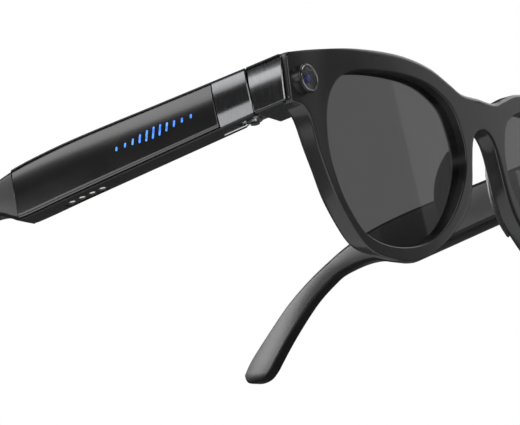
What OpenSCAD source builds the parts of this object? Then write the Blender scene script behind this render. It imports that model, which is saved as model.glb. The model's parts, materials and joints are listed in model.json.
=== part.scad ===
// Smart glasses: a moulded front with two tinted lenses and a corner camera, and two folding
// temples that hold the electronics.
// The origin is the centre of the outline on the plane that the rims and temple tips rest on.
// +X is towards the wearer's left, +Y towards the back of the head and +Z up.

/* [Front] */
// Radius of the front face's horizontal wrap
wrap_r = 349; // [320:1:400]
// Depth of the rim from front to back
rim_depth = 4.8; // [4.6:0.1:5.4]
// Depth of the front shell, which the rear cover completes
shell_depth = 3.2; // [3:0.1:3.4]
// Half the width across the end pieces, at the hinge gap
half_width = 73.5; // [73:0.1:75]
// Distance of the hinge gap behind the foremost point
gap_back = 16.2; // [16:0.1:17]
// Wall of the end pieces
end_wall = 1.4; // [1.2:0.1:1.6]

/* [Lenses] */
// Setback of the lenses from the front face
lens_set = 2.2; // [2:0.1:2.4]
// Thickness of a lens
lens_t = 2; // [1.8:0.1:2.2]
// Edge of a lens that sits in the rim's groove
lens_lip = 0.8; // [0.5:0.1:1]

/* [Camera and light] */
// Distance of the camera and of the recording light from the centre plane
eye_x = 67.9; // [67.5:0.1:68.2]
// Height of the camera above the lens centre line
eye_z = 14.6; // [14:0.1:15]
// Outer radius of the camera barrel
barrel_r = 3.35; // [3.1:0.05:3.5]
// How far the barrel stands out of the front face
barrel_proud = 2.8; // [2:0.1:3]
// Radius of the recording light's window
light_r = 1.1; // [0.8:0.1:1.4]

/* [Temples] */
// Angle by which each temple splays outwards
splay = 4; // [2:0.5:5]
// Angle by which the temples slope down from the hinge
tilt = 6.1; // [5.5:0.1:7]
// Thickness of a temple
bar_t = 7; // [6.8:0.1:7.4]
// Height of a temple at the hinge
bar_h = 11.3; // [11.2:0.1:11.8]
// Thickness of the outer cover
cover_t = 1.5; // [1.3:0.1:1.6]
// Wall of the inner housing
wall_t = 1.1; // [1:0.1:1.2]
// Where the left temple's electronics pod ends and its tip begins
pod_end = 62; // [61:0.5:62.5]
// Extra length of the right temple's pod, which carries the charging contacts
right_more = 8; // [7:0.5:8.5]
// Thickness of the temple tip
tip_t = 4.9; // [4.4:0.1:5.2]
// Clearance at the hinge gap
gap = 0.3; // [0.2:0.05:0.4]

/* [Trim] */
// Thickness of the metal trim plates
trim_t = 0.8; // [0.6:0.1:1]
// Length of the temple's trim plate
trim_l = 9.6; // [9:0.1:10]
// Distance of the front trim plate behind the front face
trim_back = 1; // [0.8:0.1:1.2]

/* [Hinges] */
// Distance of the hinge pin inside the outer face
pin_in = 5.5; // [5.4:0.1:5.6]
// Distance of the hinge pin behind the gap
pin_back = 3.3; // [3.2:0.1:3.4]
// Radius of the hinge barrel
knuckle_r = 1.9; // [1.7:0.1:1.9]
// Radius of the hinge screw
pin_r = 0.7; // [0.6:0.05:0.8]
// Running clearance of the moving knuckle on the screw
run_c = 0.05; // [0.02:0.01:0.08]

/* [Light bars] */
// Distance from the hinge gap to the middle light bar
bars_mid = 27.3; // [27:0.1:27.6]
// Pitch of the light bars at the middle of their row
bars_pitch = 1.93; // [1.9:0.01:1.96]
// How much the pitch widens towards the ends of the row
bars_spread = 0.01; // [0.008:0.001:0.012]
// Angle by which the tops of the light bars lean forward
bars_lean = 18; // [16:1:22]
// Width of a light bar
bar_w = 0.6; // [0.5:0.1:0.8]
// Height of the tallest light bar
bar_tall = 2.9; // [2.4:0.1:3.2]
// Height of the shortest light bar
bar_short = 1; // [0.8:0.1:1.2]
// Number of light bars
bars_n = 11; // [7:2:11]

/* [Controls and contacts] */
// Travel of the capture button
button_travel = 0.4; // [0.3:0.05:0.4]
// Travel of the power slider
slider_travel = 2; // [1.5:0.1:2]
// Distance from the hinge gap to the first charging contact
contact_start = 46.9; // [46.5:0.1:47.2]
// Pitch of the charging contacts
contact_pitch = 3.1; // [2.8:0.1:3.1]
// Radius of a charging contact
contact_r = 1; // [0.8:0.1:1.1]

/* [Hidden] */
$fn = 96;
BLACK = [0.03, 0.03, 0.035];
GUNMETAL = [0.33, 0.34, 0.36];
STEEL = [0.72, 0.72, 0.74];
BOARD = [0.05, 0.25, 0.16];
RIGHT = -1;
LEFT = 1;
wrap_fn = 360;
hinge_gap_half = gap / 2;
steps = 5;

// A smooth curve through a list of points: each stretch is a Catmull-Rom cubic.
function cubic(a, b, c, d, t) = 0.5 * (2 * b + (c - a) * t + (2 * a - 5 * b + 4 * c - d) * t * t
    + (3 * b - a - 3 * c + d) * t * t * t);
function open_curve(p) = concat([for (i = [0:len(p) - 2], k = [0:steps - 1])
    cubic(p[max(i - 1, 0)], p[i], p[i + 1], p[min(i + 2, len(p) - 1)], k / steps)],
    [p[len(p) - 1]]);
function closed_curve(p) = [for (i = [0:len(p) - 1], k = [0:steps - 1])
    cubic(p[(i + len(p) - 1) % len(p)], p[i], p[(i + 1) % len(p)], p[(i + 2) % len(p)],
    k / steps)];
function mirrored(p) = [for (i = [len(p) - 1:-1:0]) [-p[i][0], p[i][1]]];
function heights(p) = [for (q = p) q[1]];
function grown(p, c, d) = [for (q = p) q + d * (q - c) / norm(q - c)];

// Outline of the front: distance from the centre plane, and height above the lens centre line.
brow = open_curve([[0, 19.9], [7.6, 19.9], [12.9, 21.8], [20.8, 24.6], [32.3, 25.9],
    [46.9, 25.2], [60.4, 23.2], [74, 20.2]]);
cheek = open_curve([[69, 8.9], [66.4, 6.2], [64.3, -0.3], [60.7, -9.4], [57, -16],
    [53, -21], [48.5, -23.9], [41.8, -25.05], [36, -24.6], [30.4, -22.9], [21.5, -18.1],
    [12.4, -11.1], [8.4, -4.6], [6.4, 3], [5, 8], [2.8, 10.8], [0, 11.6]]);
half_front = concat(brow, [[74, 9]], cheek);
front_outline = concat(half_front, mirrored(half_front));
lens_centre = [35.3, 0];
opening = closed_curve([[60.9, 0.9], [59.7, 9.9], [55.7, 16.3], [48.9, 19.5], [37, 20.8],
    [25.6, 20.5], [17.9, 18.4], [12.4, 14.4], [9.8, 5.8], [11.8, -2.6], [19.6, -12.9],
    [29.7, -19.4], [41.2, -21.7], [51.1, -19.8], [56.6, -13.6], [59.6, -6.5]]);
lens_outline = grown(opening, lens_centre, lens_lip);
lens_z = -min(heights(cheek));
flex_band = concat([for (q = brow) if (q[0] < 64) q - [0, 1.4]],
    [for (i = [len(brow) - 1:-1:0]) if (brow[i][0] < 64) brow[i] - [0, 2.8]]);
flex_depth = 2.6;
flex_t = 0.3;

// Side view of a temple: distance behind the hinge gap, and height above its lower front edge.
top_line = open_curve([[0, bar_h], [25, 11.5], [43, 11.7], [55, 11.6], [67, 10.9], [75, 9.7],
    [83, 7.6], [93, 4], [103, -0.8], [113, -7.1], [122, -13.2], [126, -17]]);
end_line = open_curve([[126, -17], [125.2, -19.4], [122.6, -20.6], [119.6, -20.8],
    [116.6, -20.3], [114, -18.8]]);
under_tip = [[114, -18.8], [104.5, -10.8], [94, -3.5]];
under_pod_left = [[85, 0.6], [80.5, 1.8], [73, 2.3], [67.5, 1.7], [64, 0.5], [60.5, -1.1],
    [57, -2], [54, -2]];
under_pod_right = [[87, 0.2], [82, 1.4], [77.5, 1.2], [74, -0.2], [71, -2], [68, -2.6],
    [54, -2]];
low_left = open_curve(concat(under_tip, under_pod_left));
low_right = open_curve(concat(under_tip, under_pod_right));
function pod_back(side) = pod_end + (side == RIGHT ? right_more : 0);
function low_line(side) = side == RIGHT ? low_right : low_left;
function temple_side(side) = concat(top_line, end_line, low_line(side), [[0, 0]]);
under_slope = atan(2 / 54);
temple_z = -min([for (q = concat(end_line, low_left)) q[1] * cos(tilt) - q[0] * cos(splay)
    * sin(tilt)]);
tip_in = 1;
temple_reach = max([for (q = concat(top_line, end_line)) gap_back + q[1] * sin(tilt)
    + (q[0] * cos(splay) + (tip_in + tip_t) * sin(splay)) * cos(tilt)]);
cavity_start = 13;
cavity_end = pod_end - 2.5;
hinge_zone = pin_back + knuckle_r + 0.7;
hinge_wall = 2.3;
trim_end = hinge_gap_half + trim_l;
leaf_in = pin_in - knuckle_r;
leaf_w = 2 * knuckle_r;
leaf_l = 5.4;
knuckle_low = 0.4;
knuckle_h = 2.6;
knuckle_c = 0.1;
middle_h = 4;
stack_h = 2 * knuckle_h + 2 * knuckle_c + middle_h;
end_cavity_back = -6;
end_inner = 12;
bore_c = 0.06;
barrel_back = 2.6;
bars_n_half = (bars_n - 1) / 2;
screw_head_r = 1.1;
screw_head_h = 0.7;
function wrap_y(x) = wrap_r - sqrt(wrap_r * wrap_r - x * x);
eye_y = wrap_y(eye_x);

// Places children given in the design frame, where y is 0 at the foremost point.
module placed() {
    translate([0, -temple_reach / 2, 0]) children();
}

// Places children drawn for the right side on either side.
module on_side(side) {
    placed() mirror([side == LEFT ? 1 : 0, 0, 0]) children();
}

// Frame of the right temple: x is 0 on the outer face and grows inwards, y runs back from the
// hinge gap and z is 0 at the lower edge.
module temple_place() {
    translate([-half_width, gap_back, temple_z]) rotate([-tilt, 0, 0]) rotate([0, 0, splay])
        children();
}

module on_temple(side) {
    on_side(side) temple_place() children();
}

// A box from one corner to the other.
module block(a, b) {
    translate(a) cube(b - a);
}

// Everything behind the front face by more than the given depth.
module behind(depth) {
    translate([0, wrap_r, -20]) cylinder(r = wrap_r - depth, h = 100, $fn = wrap_fn);
}

// An outline of the front view, drawn right through the front.
module through(points) {
    translate([0, 60, lens_z]) rotate([90, 0, 0]) linear_extrude(80) polygon(points);
}

// A layer of the front that follows the wrap between two depths.
module layer(points, front, back) {
    intersection() {
        through(points);
        difference() {
            behind(front);
            behind(back);
        }
    }
}

// A shape of the right half, and its mirror image.
module both() {
    children();
    mirror([1, 0, 0]) children();
}

// A round piece that points forward at the camera or the recording light.
module forward(side, r, front, back) {
    translate([side * eye_x, back, lens_z + eye_z]) rotate([90, 0, 0])
        cylinder(r = r, h = back - front);
}

// The thick corner that carries the hinge.
module end_piece() {
    temple_place() block([0, -16, 0], [end_inner, -hinge_gap_half, bar_h]);
}

module end_cavity() {
    intersection() {
        temple_place() block([end_wall, -16, end_wall],
            [end_inner - end_wall, end_cavity_back, bar_h - end_wall]);
        behind(2);
    }
}

module leaf_base(side_sign, from) {
    block([leaf_in, side_sign > 0 ? from : from - leaf_l, 0.7],
        [leaf_in + leaf_w, side_sign > 0 ? from + leaf_l : from, knuckle_low + stack_h]);
}

module knuckle(low, high) {
    translate([pin_in, pin_back, low]) cylinder(r = knuckle_r, h = high - low);
}

module pin_hole(r) {
    translate([pin_in, pin_back, -1]) cylinder(r = r, h = bar_h + 2);
}

// Two small countersunk screws that hold a hinge leaf, pointing outwards from its inner face.
module leaf_screw_pair(y, inner, grow) {
    for (z = [2.6, 7.9]) translate([inner, y, z]) rotate([0, -90, 0]) {
        cylinder(r = 0.5 + grow, h = 2.6 + grow);
        cylinder(r = 0.95 + grow, h = 0.5 + grow);
    }
}

front_screw_y = -3.2;
temple_screw_y = 9.2;

// The space of a front trim plate, up to the given depth, height and rear edge.
module trim_seat(deep, high, rear) {
    intersection() {
        temple_place() block([-1, -16, 0.15], [deep, rear, high]);
        behind(trim_back);
    }
}

// The whole front between two depths, with its end pieces.
module front_part(front, back) {
    layer(front_outline, front, back);
    intersection() {
        both() end_piece();
        behind(front);
    }
}

// What both halves of the front leave free: lenses, cavities, trim seats and bores.
module front_cuts() {
    both() {
        temple_place() {
            block([-8, -20, -6], [0, 4, 20]);
            leaf_base(-1, -hinge_gap_half);
            leaf_screw_pair(front_screw_y, leaf_in + 0.1, 0);
        }
        trim_seat(trim_t, bar_h + 1, 1);
        through(opening);
        layer(lens_outline, lens_set, lens_set + lens_t);
        end_cavity();
    }
    forward(RIGHT, barrel_r + bore_c, -5, eye_y + barrel_back + bore_c);
    forward(LEFT, light_r, -5, eye_y + 2.5);
}

module front_shell() {
    color(BLACK) placed() difference() {
        front_part(0, shell_depth);
        behind(shell_depth);
        front_cuts();
        layer(flex_channel(), flex_depth - 0.1, rim_depth);
    }
}

module front_rear_cover() {
    color(BLACK) placed() difference() {
        front_part(shell_depth, rim_depth);
        front_cuts();
    }
}

function flex_channel() = concat(flex_band, mirrored(flex_band));

module lens(side) {
    color([0.2, 0.2, 0.21, 0.6]) on_side(side) mirror([1, 0, 0])
        layer(lens_outline, lens_set, lens_set + lens_t);
}

module nose_pad(side) {
    color(BLACK) on_side(side) difference() {
        hull() for (p = [[-8.2, 6, 4], [-9.4, 6.4, -5], [-12.2, 6.8, -10.5]]) {
            translate([p[0], p[1] - 1.6, lens_z + p[2]]) sphere(r = 1.5, $fn = 24);
            translate([p[0] - 1.6, p[1] + 3, lens_z + p[2]]) sphere(r = 1.4, $fn = 24);
        }
        translate([0, wrap_r, 0]) difference() {
            translate([0, 0, -1]) cylinder(r = wrap_r + 5, h = 60, $fn = wrap_fn);
            translate([0, 0, -2]) cylinder(r = wrap_r - rim_depth, h = 62, $fn = wrap_fn);
        }
    }
}

module camera_barrel() {
    color(BLACK) placed() difference() {
        forward(RIGHT, barrel_r, eye_y - barrel_proud, eye_y + barrel_back);
        forward(RIGHT, 3.1, eye_y - 4, eye_y - barrel_proud + 0.9);
        forward(RIGHT, 2.6, eye_y - 4, eye_y + 3);
    }
}

module camera_ring() {
    color([0.4, 0.41, 0.43]) placed() difference() {
        forward(RIGHT, 3.1, eye_y - barrel_proud - 0.15, eye_y - barrel_proud + 0.9);
        forward(RIGHT, 2.1, eye_y - 4, eye_y);
    }
}

module camera_window() {
    color([0.05, 0.06, 0.12, 0.6]) placed()
        forward(RIGHT, 2.6, eye_y - barrel_proud + 0.9, eye_y - barrel_proud + 1.4);
}

module camera_lens_stack() {
    color([0.1, 0.12, 0.3]) placed() {
        forward(RIGHT, 1.6, eye_y - 1.1, eye_y + 0.2);
        forward(RIGHT, 2.3, eye_y + 0.2, eye_y + 2.6);
    }
}

module camera_sensor_board() {
    color(BOARD) placed() translate([-eye_x - 2.5, eye_y + 2.7, lens_z + eye_z - 2.5])
        cube([5, 0.6, 5]);
}

module recording_light_window() {
    color([0.9, 0.9, 0.95, 0.7]) placed() forward(LEFT, light_r, eye_y + 0.1, eye_y + 2.7);
}

module recording_light_board() {
    color(BOARD) placed() translate([eye_x - 2, eye_y + 2.7, lens_z + eye_z - 2])
        cube([4, 0.6, 4]);
}

module front_flex() {
    color([0.75, 0.5, 0.15]) placed() layer(flex_channel(), flex_depth, flex_depth + flex_t);
}

module front_trim(side) {
    color(GUNMETAL) on_side(side) intersection() {
        trim_seat(trim_t, bar_h, -hinge_gap_half);
        temple_place() block([0, -16, 0], [trim_t, 0, bar_h]);
    }
}

module front_hinge_leaf(side) {
    color(STEEL) on_temple(side) difference() {
        union() {
            leaf_base(-1, -hinge_gap_half);
            for (low = [knuckle_low, knuckle_low + stack_h - knuckle_h]) {
                knuckle(low, low + knuckle_h);
                block([leaf_in, -hinge_gap_half - 0.1, max(low, 0.7)],
                    [leaf_in + leaf_w, pin_back, low + knuckle_h]);
            }
        }
        pin_hole(pin_r);
        leaf_screw_pair(front_screw_y, leaf_in + leaf_w, 0);
    }
}

module front_leaf_screws() {
    color(STEEL) placed() both() temple_place()
        leaf_screw_pair(front_screw_y, leaf_in + leaf_w, 0);
}

module hinge_screw(side) {
    color(STEEL) on_temple(side) translate([pin_in, pin_back, knuckle_low - screw_head_h]) {
        cylinder(r = pin_r, h = stack_h + screw_head_h + 0.2);
        cylinder(r = screw_head_r, h = screw_head_h);
    }
}

module temple_slab(side, inner, outer) {
    translate([inner, 0, 0]) rotate([90, 0, 90]) linear_extrude(outer - inner)
        polygon(temple_side(side));
}

module pod_cavity() {
    intersection() {
        block([cover_t - 1, cavity_start, -5], [bar_t - wall_t, cavity_end, 20]);
        on_underside() block([0, 0, wall_t], [bar_t, 80, 2 * bar_h]);
        block([0, 0, -5], [bar_t, 80, bar_h - wall_t]);
    }
}

module housing(side) {
    color(BLACK) on_temple(side) difference() {
        intersection() {
            temple_slab(side, 0, bar_t);
            union() {
                block([trim_t, hinge_gap_half, -5], [bar_t, trim_end, 20]);
                block([cover_t, hinge_gap_half, -5], [bar_t, pod_back(side), 20]);
            }
        }
        block([hinge_wall, -1, -5], [bar_t + 1, hinge_zone, 20]);
        pod_cavity();
        leaf_base(1, hinge_zone);
        leaf_screw_pair(temple_screw_y, bar_t, 0);
        tip_tenon(side, 0.03);
        if (side == RIGHT) {
            carrier_block(-1);
            button_solid(0.12, 3);
        } else {
            block([bar_t - 2, 15.9, 4.4], [bar_t + 1, 15.9 + 5.2 + slider_travel, 6.8]);
        }
        translate([3.6, 15.5, -2]) cylinder(r = 0.35, h = 4);
        for (k = [0:3]) block([bar_t - 2, 47 + 2.6 * k, 5], [bar_t + 1, 48.2 + 2.6 * k, 8]);
    }
}

module cover(side) {
    color(BLACK) on_temple(side) difference() {
        intersection() {
            temple_slab(side, 0, cover_t);
            block([0, trim_end, -5], [cover_t, pod_back(side), 20]);
        }
        if (side == RIGHT) light_bar_set();
    }
}

module temple_trim(side) {
    color(GUNMETAL) on_temple(side) intersection() {
        temple_slab(side, 0, trim_t);
        block([0, hinge_gap_half, 0.15], [trim_t, trim_end, 20]);
    }
}

// Plan view of a tip, which narrows from the pod's thickness over its first 20 mm.
module tip_plan(start) {
    linear_extrude(80, center = true) polygon([[0.05, start], [0.9, start + 20],
        [tip_in, 130], [tip_in + tip_t, 130], [bar_t - 1, start + 20], [bar_t - 0.05, start]]);
}

module tip_tenon(side, grow) {
    start = pod_back(side);
    block([2.2 - grow, start - 2.5 - grow, 1 - grow], [4.8 + grow, start + 1, 8.6 + grow]);
}

module tip(side) {
    color(BLACK) on_temple(side) difference() {
        union() {
            intersection() {
                temple_slab(side, 0, bar_t);
                tip_plan(pod_back(side));
            }
            tip_tenon(side, 0);
        }
        tip_core_solid(side);
    }
}

// The steel core's middle line, moved up or down.
function core_line(side, shift) = [for (q = open_curve([[pod_back(side) - 1, 6.5],
    [(pod_back(side) + 86) / 2, 6], [84, 4.4], [94, 0.2], [106, -7.2], [116, -15]]))
    q + [0, shift]];

module tip_core_solid(side) {
    lower = core_line(side, -0.9);
    translate([2.9, 0, 0]) rotate([90, 0, 90]) linear_extrude(1.2)
        polygon(concat(core_line(side, 0.9), [for (i = [len(lower) - 1:-1:0]) lower[i]]));
}

module tip_core(side) {
    color(STEEL) on_temple(side) tip_core_solid(side);
}

module temple_hinge_leaf(side) {
    middle_low = knuckle_low + knuckle_h + knuckle_c;
    color(STEEL) on_temple(side) difference() {
        union() {
            leaf_base(1, hinge_zone);
            knuckle(middle_low, middle_low + middle_h);
            block([leaf_in, pin_back, middle_low],
                [leaf_in + leaf_w, hinge_zone + 0.1, middle_low + middle_h]);
        }
        pin_hole(pin_r + run_c);
        leaf_screw_pair(temple_screw_y, bar_t, 0);
    }
}

module temple_leaf_screws(side) {
    color(STEEL) on_temple(side) leaf_screw_pair(temple_screw_y, bar_t, 0);
}

module battery(side) {
    color([0.55, 0.57, 0.6]) on_temple(side)
        if (side == RIGHT) block([2.7, 24, 1.4], [4.7, 43, 6.8]);
        else block([1.7, 27, 1.4], [5.7, 44, 9.6]);
}

module main_board() {
    color(BOARD) on_temple(RIGHT) block([4.9, 14, 2], [5.7, 44, 8.6]);
}

module left_board() {
    color(BOARD) on_temple(LEFT) block([1.8, 14, 2], [2.6, 25.5, 9.4]);
}

module speaker(side) {
    color([0.12, 0.12, 0.13]) on_temple(side) block([1.8, 45.5, 1.2], [5.8, 58.8, 9.4]);
}

module microphone(side) {
    color([0.75, 0.68, 0.4]) on_temple(side) block([2.7, 14.3, 1.3], [4.7, 17.3, 2.3]);
}

module touch_sensor() {
    color([0.75, 0.5, 0.15]) on_temple(RIGHT) block([cover_t, 17, 8.2], [cover_t + 0.3, 42, 9.8]);
}

// The bars rise and fall like one beat of a sound wave.
function wave(k) = bar_short + (bar_tall - bar_short)
    * pow(sin(180 * (k + 0.6) / (bars_n + 0.2)), 3);

// How far the bars stand behind the middle one; the row drops a little towards the rear.
function bar_run(k) = bars_pitch * (k - bars_n_half) + bars_spread * pow(k - bars_n_half, 3);

module light_bar_set() {
    for (k = [0:bars_n - 1])
        translate([-1, bars_mid + bar_run(k), 5.1 - 0.02 * bar_run(k)]) rotate([bars_lean, 0, 0])
            translate([0, -bar_w / 2, -wave(k) / 2]) cube([cover_t + 1.4, bar_w, wave(k)]);
}

module light_bars() {
    color([0.05, 0.35, 1]) on_temple(RIGHT) intersection() {
        light_bar_set();
        block([0, 0, 0], [cover_t + 1, 60, bar_h]);
    }
}

module light_board() {
    color(BOARD) on_temple(RIGHT) block([cover_t + 0.4, 14.5, 3.4], [cover_t + 1, 40, 7.8]);
}

module on_underside() {
    rotate([-under_slope, 0, 0]) children();
}

module carrier_block(low) {
    on_underside() block([2.5, contact_start - 2, low],
        [5.5, contact_start + 3 * contact_pitch + 2, 1.5]);
}

module contact_set(low) {
    on_underside() for (k = [0:3]) translate([4, contact_start + k * contact_pitch, low])
        cylinder(r = contact_r, h = 1.9 - low);
}

module contact_carrier() {
    color(BLACK) on_temple(RIGHT) difference() {
        carrier_block(0.3);
        contact_set(-1);
    }
}

module charging_contacts() {
    color(STEEL) on_temple(RIGHT) contact_set(0.15);
}

module button_solid(grow, high) {
    block([2.4 - grow, 19 - grow, 9.4], [5 + grow, 27 + grow, bar_h + 0.55 + high]);
}

module capture_button() {
    color(BLACK) on_temple(RIGHT) {
        button_solid(0, 0);
        block([2, 18.4, 9.3], [5.4, 27.6, 9.9]);
    }
}

module button_switch() {
    color([0.8, 0.8, 0.78]) on_temple(RIGHT) block([2.8, 21, 7.9], [4.9, 25, 8.7]);
}

module power_slider() {
    color([0.1, 0.1, 0.11]) on_temple(LEFT) {
        block([5, 14.4, 3.6], [bar_t - wall_t - 0.1, 22.6, 7.6]);
        block([5, 16, 4.5], [bar_t + 0.5, 21, 6.7]);
    }
}

module slider_switch() {
    color([0.75, 0.75, 0.72]) on_temple(LEFT) block([2.6, 15, 3.4], [4.9, 24, 7.8]);
}

front_shell();
front_rear_cover();
lens(RIGHT);  // lens_right
lens(LEFT);  // lens_left
nose_pad(RIGHT);  // nose_pad_right
nose_pad(LEFT);  // nose_pad_left
camera_barrel();
camera_ring();
camera_window();
camera_lens_stack();
camera_sensor_board();
recording_light_window();
recording_light_board();
front_flex();
front_trim(RIGHT);  // front_trim_right
front_trim(LEFT);  // front_trim_left
front_hinge_leaf(RIGHT);  // front_hinge_leaf_right
front_hinge_leaf(LEFT);  // front_hinge_leaf_left
front_leaf_screws();
hinge_screw(RIGHT);  // hinge_screw_right
hinge_screw(LEFT);  // hinge_screw_left
housing(RIGHT);  // housing_right
housing(LEFT);  // housing_left
cover(RIGHT);  // cover_right
cover(LEFT);  // cover_left
temple_trim(RIGHT);  // temple_trim_right
temple_trim(LEFT);  // temple_trim_left
tip(RIGHT);  // tip_right
tip(LEFT);  // tip_left
tip_core(RIGHT);  // tip_core_right
tip_core(LEFT);  // tip_core_left
temple_hinge_leaf(RIGHT);  // temple_hinge_leaf_right
temple_hinge_leaf(LEFT);  // temple_hinge_leaf_left
temple_leaf_screws(RIGHT);  // temple_leaf_screws_right
temple_leaf_screws(LEFT);  // temple_leaf_screws_left
battery(RIGHT);  // battery_right
battery(LEFT);  // battery_left
main_board();
left_board();
speaker(RIGHT);  // speaker_right
speaker(LEFT);  // speaker_left
microphone(RIGHT);  // microphone_right
microphone(LEFT);  // microphone_left
touch_sensor();
light_bars();
light_board();
contact_carrier();
charging_contacts();
capture_button();
button_switch();
power_slider();
slider_switch();
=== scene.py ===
"""Smart glasses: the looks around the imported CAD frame.

Lengths in the outlines are in millimetres, as in the CAD source; MM turns them into metres.
"""
import json
import math

import bmesh
import bpy
from mathutils import Matrix, Vector


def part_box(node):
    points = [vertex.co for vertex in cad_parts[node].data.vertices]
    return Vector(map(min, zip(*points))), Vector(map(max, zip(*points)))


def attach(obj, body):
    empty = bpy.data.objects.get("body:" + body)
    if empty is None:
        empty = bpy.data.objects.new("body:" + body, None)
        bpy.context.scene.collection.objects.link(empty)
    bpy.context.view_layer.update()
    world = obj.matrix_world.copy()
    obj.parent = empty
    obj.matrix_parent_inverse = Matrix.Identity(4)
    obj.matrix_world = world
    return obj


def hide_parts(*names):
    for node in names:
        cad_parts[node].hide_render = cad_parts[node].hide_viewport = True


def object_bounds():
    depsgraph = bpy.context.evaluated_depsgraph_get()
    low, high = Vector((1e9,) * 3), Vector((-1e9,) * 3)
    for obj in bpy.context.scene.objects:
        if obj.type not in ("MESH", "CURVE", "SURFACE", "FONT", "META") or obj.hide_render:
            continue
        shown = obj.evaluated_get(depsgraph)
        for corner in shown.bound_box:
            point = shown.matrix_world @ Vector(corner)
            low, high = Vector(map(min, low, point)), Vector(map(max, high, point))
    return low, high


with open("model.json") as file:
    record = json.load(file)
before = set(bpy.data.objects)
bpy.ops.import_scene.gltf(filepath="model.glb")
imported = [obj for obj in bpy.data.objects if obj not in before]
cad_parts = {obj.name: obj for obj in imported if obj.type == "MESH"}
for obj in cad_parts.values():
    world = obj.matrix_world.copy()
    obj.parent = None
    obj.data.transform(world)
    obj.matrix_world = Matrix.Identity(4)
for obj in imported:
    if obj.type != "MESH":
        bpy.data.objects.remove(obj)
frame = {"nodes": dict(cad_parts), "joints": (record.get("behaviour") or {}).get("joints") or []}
cad_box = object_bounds()

MM = 0.001
RIGHT, LEFT = "right", "left"
SIDES = (RIGHT, LEFT)
TEMPLE_BODY = {RIGHT: "right_temple", LEFT: "left_temple"}

# Driving dimensions, as the CAD has them.
WRAP_R = 349.0
SHELL_DEPTH = 3.2
RIM_DEPTH = 4.8
LENS_SET = 2.2
LENS_T = 2.0
TILT = math.radians(6.1)
SPLAY = math.radians(4.0)
PIN_IN, PIN_BACK = 5.5, 3.3
BAR_T, BAR_H = 7.0, 11.3
COVER_T = 1.5
GAP_HALF = 0.15
TRIM_L = 9.6
TRIM_T = 0.8
POD_BACK = {RIGHT: 70.0, LEFT: 62.0}
TIP_IN, TIP_T = 1.0, 4.9

# How high up the hinge pin the record gives the joint's position, in the temple's own frame.
PIN_MID = 5.6

joints = {joint["name"]: joint for joint in frame["joints"]}
hinge_pos = Vector(joints["right_temple_fold"]["pos_m"])


def cubic(a, b, c, d, t):
    return 0.5 * (2 * b + (c - a) * t + (2 * a - 5 * b + 4 * c - d) * t * t
                  + (3 * b - a - 3 * c + d) * t ** 3)


def smooth(points, steps=6, closed=False):
    """A Catmull-Rom curve through 2D points."""
    pts = [Vector(p) for p in points]
    n = len(pts)
    out = []
    for i in range(n if closed else n - 1):
        if closed:
            a, b, c, d = (pts[(i + k) % n] for k in (-1, 0, 1, 2))
        else:
            a, b, c, d = (pts[min(max(i + k, 0), n - 1)] for k in (-1, 0, 1, 2))
        out += [cubic(a, b, c, d, k / steps) for k in range(steps)]
    if not closed:
        out.append(pts[-1])
    return out


def resample(points, spacing, closed=False):
    """The same curve with points at an even spacing."""
    pts = list(points) + ([points[0]] if closed else [])
    lengths = [0.0]
    for a, b in zip(pts, pts[1:]):
        lengths.append(lengths[-1] + (b - a).length)
    count = max(2, round(lengths[-1] / spacing))
    out, k = [], 0
    for i in range(count if closed else count + 1):
        want = lengths[-1] * i / count
        while k < len(pts) - 2 and lengths[k + 1] < want:
            k += 1
        span = lengths[k + 1] - lengths[k] or 1.0
        out.append(pts[k].lerp(pts[k + 1], (want - lengths[k]) / span))
    return out


# Outlines in millimetres: distance from the centre plane, and height above the lens line.
BROW = [(0, 19.9), (7.6, 19.9), (12.9, 21.8), (20.8, 24.6), (32.3, 25.9), (46.9, 25.2),
        (60.4, 23.2), (71.5, 20.8)]
CHEEK = [(69.8, 9.0), (68.2, 8.5), (66.4, 6.2), (64.3, -0.3), (60.7, -9.4), (57, -16),
         (53, -21), (48.5, -23.9), (41.8, -25.05), (36, -24.6), (30.4, -22.9), (21.5, -18.1),
         (12.4, -11.1), (8.4, -4.6), (6.4, 3), (5, 8), (2.8, 10.8), (0, 11.6)]
OPENING = [(60.9, 0.9), (59.7, 9.9), (55.7, 16.3), (48.9, 19.5), (37, 20.8), (25.6, 20.5),
           (17.9, 18.4), (12.4, 14.4), (9.8, 5.8), (11.8, -2.6), (19.6, -12.9), (29.7, -19.4),
           (41.2, -21.7), (51.1, -19.8), (56.6, -13.6), (59.6, -6.5)]
LENS_CENTRE = Vector((35.3, 0))
# Each station on the outline meets the opening on its line to this point.
STAR = Vector((36, 10))
SIDE_X = 72.1
CORNER_TOP_R, CORNER_TOP_H = 0.5, 20.15
CORNER_LOW_R, CORNER_LOW_H = 1.0, 10.1

TOP_LINE = [(0, BAR_H), (25, 11.5), (43, 11.7), (55, 11.6), (67, 10.9), (75, 9.7), (83, 7.6),
            (93, 4), (103, -0.8), (113, -7.1), (122, -13.2), (126, -17)]
LOW_LINE = {
    LEFT: [(54, -2), (57, -2.0), (60.5, -1.1), (64, 0.5), (67.5, 1.7), (73, 2.3), (80.5, 1.8),
           (85, 0.6), (94, -3.5), (104.5, -10.8), (114, -18.8)],
    RIGHT: [(54, -2), (68, -2.6), (71, -2), (74, -0.2), (77.5, 1.2), (82, 1.4), (87, 0.2),
            (94, -3.5), (104.5, -10.8), (114, -18.8)],
}
END_LINE = [(126, -17), (125.2, -19.4), (122.6, -20.6), (119.6, -20.8), (116.6, -20.3),
            (114, -18.8)]

# The shared frame: the lens line's height and the foremost point's y, in millimetres.
LENS_Z = 25.0824
FRONT_Y = cad_box[0].y / MM


def wrap_y(x):
    return WRAP_R - math.sqrt(WRAP_R ** 2 - x * x)


def front_point(x, z, depth):
    """A point of the front's right half, given as millimetres from the centre plane."""
    return Vector((-x, FRONT_Y + wrap_y(x) + depth, LENS_Z + z)) * MM


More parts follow.
